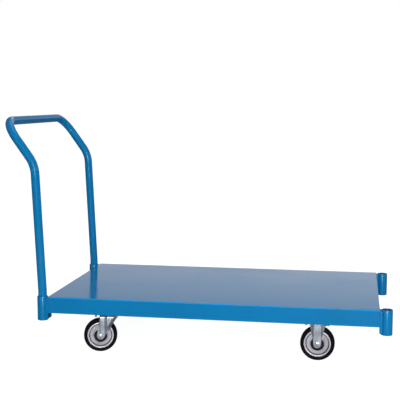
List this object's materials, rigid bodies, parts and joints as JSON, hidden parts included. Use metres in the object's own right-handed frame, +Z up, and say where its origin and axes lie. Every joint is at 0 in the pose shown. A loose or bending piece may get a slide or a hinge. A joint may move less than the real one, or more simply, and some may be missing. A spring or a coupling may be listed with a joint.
{
  "type": "platform cart",
  "caption": "Flat steel platform cart with a plug-in tube push handle at one end, swivel casters under the handle, fixed casters at the front and open corner sockets.",
  "frame": {"origin": "on the floor, below the centre of the bounding box of the whole cart", "axes": "+X to the front, away from the handle, along the cart's length; +Y to the left across its width; +Z up"},
  "size_m": [1.431, 0.7, 0.88],
  "materials": {
    "blue_paint": "gloss",
    "zinc_steel": "satin, zinc plated",
    "bright_steel": "bright",
    "rim": "satin, pressed steel",
    "tyre": "matt rubber",
    "guard": "matt"
  },
  "bodies": {
    "chassis": {"deck_panel": "blue_paint", "rear_end_channel": "blue_paint", "front_end_channel": "blue_paint", "rear_crossmember": "blue_paint", "front_crossmember": "blue_paint", "left_stiffener": "blue_paint", "right_stiffener": "blue_paint", "rear_left_socket": "blue_paint", "rear_right_socket": "blue_paint", "front_left_socket": "blue_paint", "front_right_socket": "blue_paint", "rear_left_corner_plate": "blue_paint", "rear_right_corner_plate": "blue_paint", "front_left_corner_plate": "blue_paint", "front_right_corner_plate": "blue_paint", "socket_rings": "blue_paint", "caster_bolts": "bright_steel", "caster_washers": "bright_steel", "caster_nuts": "bright_steel", "rear_left_top_plate": "zinc_steel", "rear_right_top_plate": "zinc_steel", "kingpins": "bright_steel", "kingpin_nuts": "bright_steel", "front_left_fork": "zinc_steel", "front_right_fork": "zinc_steel", "front_axle_bolts": "bright_steel", "front_axle_nuts": "bright_steel", "front_axle_sleeves": "bright_steel", "front_thread_guards": "guard"},
    "push_handle": {"push_handle": "blue_paint"},
    "rear_left_swivel": {"rear_left_fork": "zinc_steel", "rear_left_lower_race": "zinc_steel", "rear_left_balls": "bright_steel", "rear_left_axle_bolt": "bright_steel", "rear_left_axle_nut": "bright_steel", "rear_left_axle_sleeve": "bright_steel", "rear_left_thread_guards": "guard"},
    "rear_right_swivel": {"rear_right_fork": "zinc_steel", "rear_right_lower_race": "zinc_steel", "rear_right_balls": "bright_steel", "rear_right_axle_bolt": "bright_steel", "rear_right_axle_nut": "bright_steel", "rear_right_axle_sleeve": "bright_steel", "rear_right_thread_guards": "guard"},
    "rear_left_wheel": {"rear_left_tyre": "tyre", "rear_left_rim": "rim", "rear_left_hub": "zinc_steel", "rear_left_bearing": "bright_steel"},
    "rear_right_wheel": {"rear_right_tyre": "tyre", "rear_right_rim": "rim", "rear_right_hub": "zinc_steel", "rear_right_bearing": "bright_steel"},
    "front_left_wheel": {"front_left_tyre": "tyre", "front_left_rim": "rim", "front_left_hub": "zinc_steel", "front_left_bearing": "bright_steel"},
    "front_right_wheel": {"front_right_tyre": "tyre", "front_right_rim": "rim", "front_right_hub": "zinc_steel", "front_right_bearing": "bright_steel"}
  },
  "joints": [
    {"name": "handle_lift", "type": "slide", "parent": "chassis", "child": "push_handle", "axis": [0, 0, 1], "range_m": [0, 0.12]},
    {"name": "rear_left_swivel_turn", "type": "hinge", "parent": "chassis", "child": "rear_left_swivel", "pos_m": [-0.3295, 0.265, 0.13], "axis": [0, 0, 1], "continuous": true},
    {"name": "rear_right_swivel_turn", "type": "hinge", "parent": "chassis", "child": "rear_right_swivel", "pos_m": [-0.3295, -0.265, 0.13], "axis": [0, 0, 1], "continuous": true},
    {"name": "rear_left_wheel_spin", "type": "hinge", "parent": "rear_left_swivel", "child": "rear_left_wheel", "pos_m": [-0.35848, 0.27276, 0.0625], "axis": [0.2588, 0.9659, 0], "continuous": true},
    {"name": "rear_right_wheel_spin", "type": "hinge", "parent": "rear_right_swivel", "child": "rear_right_wheel", "pos_m": [-0.35848, -0.27276, 0.0625], "axis": [-0.2588, 0.9659, 0], "continuous": true},
    {"name": "front_left_wheel_spin", "type": "hinge", "parent": "chassis", "child": "front_left_wheel", "pos_m": [0.4525, 0.248, 0.0625], "axis": [0, 1, 0], "continuous": true},
    {"name": "front_right_wheel_spin", "type": "hinge", "parent": "chassis", "child": "front_right_wheel", "pos_m": [0.4525, -0.248, 0.0625], "axis": [0, 1, 0], "continuous": true}
  ]
}
